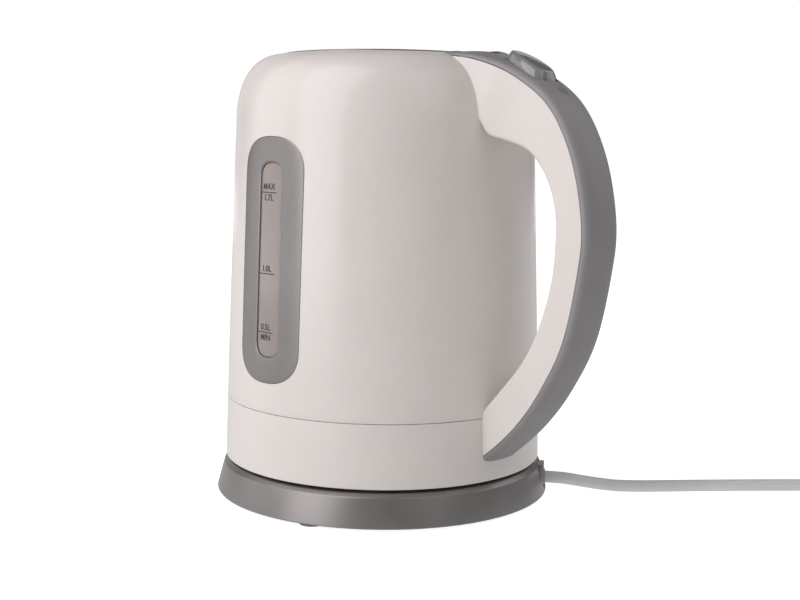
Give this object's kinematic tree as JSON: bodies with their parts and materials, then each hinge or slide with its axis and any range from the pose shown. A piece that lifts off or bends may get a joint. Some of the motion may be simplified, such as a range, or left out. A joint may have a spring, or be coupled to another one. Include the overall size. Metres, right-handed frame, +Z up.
{
  "type": "electric kettle",
  "caption": "Cordless electric kettle: round white plastic jug with rear handle, side level gauge, hinged lid and steam switch, on a round power base with mains cord.",
  "frame": {"origin": "on the surface that the base's feet stand on, under the middle of the kettle measured over its base and handle, without the cord", "axes": "+X out along the handle, -Y towards the level gauge, +Z up; the spout points to -X"},
  "size_m": [0.4366, 0.271, 0.2178],
  "materials": {
    "white_plastic": "glossy moulded polypropylene, warm white",
    "grey_plastic": "satin moulded plastic, mid grey",
    "dark_plastic": "matt moulded plastic, dark grey",
    "black_plastic": "matt heat-proof moulding, black",
    "window_plastic": "clear smoky moulding with printed level marks",
    "rocker_plastic": "glossy translucent grey moulding",
    "lamp_glass": "small neon lamp",
    "cord_pvc": "smooth PVC sheath, light grey",
    "wire_black": "silicone wire insulation",
    "wire_white": "silicone wire insulation",
    "steel": "bright stainless steel",
    "plated_metal": "nickel plated brass",
    "brass": "bright stamped brass",
    "rubber": "matt soft rubber",
    "silicone": "matt silicone"
  },
  "bodies": {
    "base": {"base_cover": "grey_plastic", "base_plate": "grey_plastic", "base_foot_1": "rubber", "base_foot_2": "rubber", "base_foot_3": "rubber", "base_screw_1": "steel", "base_screw_2": "steel", "base_screw_3": "steel", "connector_socket": "black_plastic", "line_contact": "brass", "earth_contact": "brass", "neutral_contact": "brass", "cord_clamp": "dark_plastic", "inner_lead": "cord_pvc", "cord_gland": "dark_plastic", "power_cord": "cord_pvc", "cord_coil": "cord_pvc", "cord_tail": "cord_pvc", "plug_body": "cord_pvc", "plug_pin_1": "plated_metal", "plug_pin_2": "plated_metal", "plug_earth_clip_1": "plated_metal", "plug_earth_clip_2": "plated_metal"},
    "connector": {"connector_plug": "black_plastic", "line_pin": "brass"},
    "jug": {"underside_cover": "white_plastic", "bottom_housing": "white_plastic", "jug_screw_1": "steel", "jug_screw_2": "steel", "jug_screw_3": "steel", "control_unit": "black_plastic", "heating_element": "steel", "heater_plate": "steel", "plate_seal": "silicone", "bimetal_disc_1": "steel", "bimetal_disc_2": "steel", "jug_body": "white_plastic", "jug_shoulder": "white_plastic", "gauge_frame": "grey_plastic", "gauge_window": "window_plastic", "filter_frame": "grey_plastic", "filter_mesh": "steel", "handle_shell": "white_plastic", "handle_cover": "grey_plastic", "steam_switch": "black_plastic", "steam_bimetal": "steel", "switch_lamp": "lamp_glass", "switch_wire_1": "wire_black", "switch_wire_2": "wire_white", "rocker_pin": "steel", "lid_hinge_pin": "steel", "button_spring": "steel"},
    "lid": {"lid_cap": "grey_plastic", "lid_inner": "white_plastic"},
    "button": {"lid_button": "grey_plastic"},
    "rocker": {"switch_rocker": "rocker_plastic"}
  },
  "joints": [
    {"name": "jug_lift", "type": "slide", "parent": "base", "child": "connector", "axis": [0, 0, 1], "range_m": [0, 0.06]},
    {"name": "jug_swivel", "type": "hinge", "parent": "connector", "child": "jug", "pos_m": [-0.02526, 0, 0.03], "axis": [0, 0, 1], "continuous": true},
    {"name": "lid_hinge", "type": "hinge", "parent": "jug", "child": "lid", "pos_m": [0.02924, 0, 0.2115], "axis": [0, 1, 0], "range_deg": [0, 70]},
    {"name": "button_press", "type": "slide", "parent": "jug", "child": "button", "axis": [0, 0, -1], "range_m": [0, 0.0018], "stiffness_N_per_m": 500, "springref_m": -0.002, "deforming": ["button_spring"]},
    {"name": "switch_rock", "type": "hinge", "parent": "jug", "child": "rocker", "pos_m": [0.06474, 0, 0.2045], "axis": [0, 1, 0], "range_deg": [0, 8]}
  ]
}
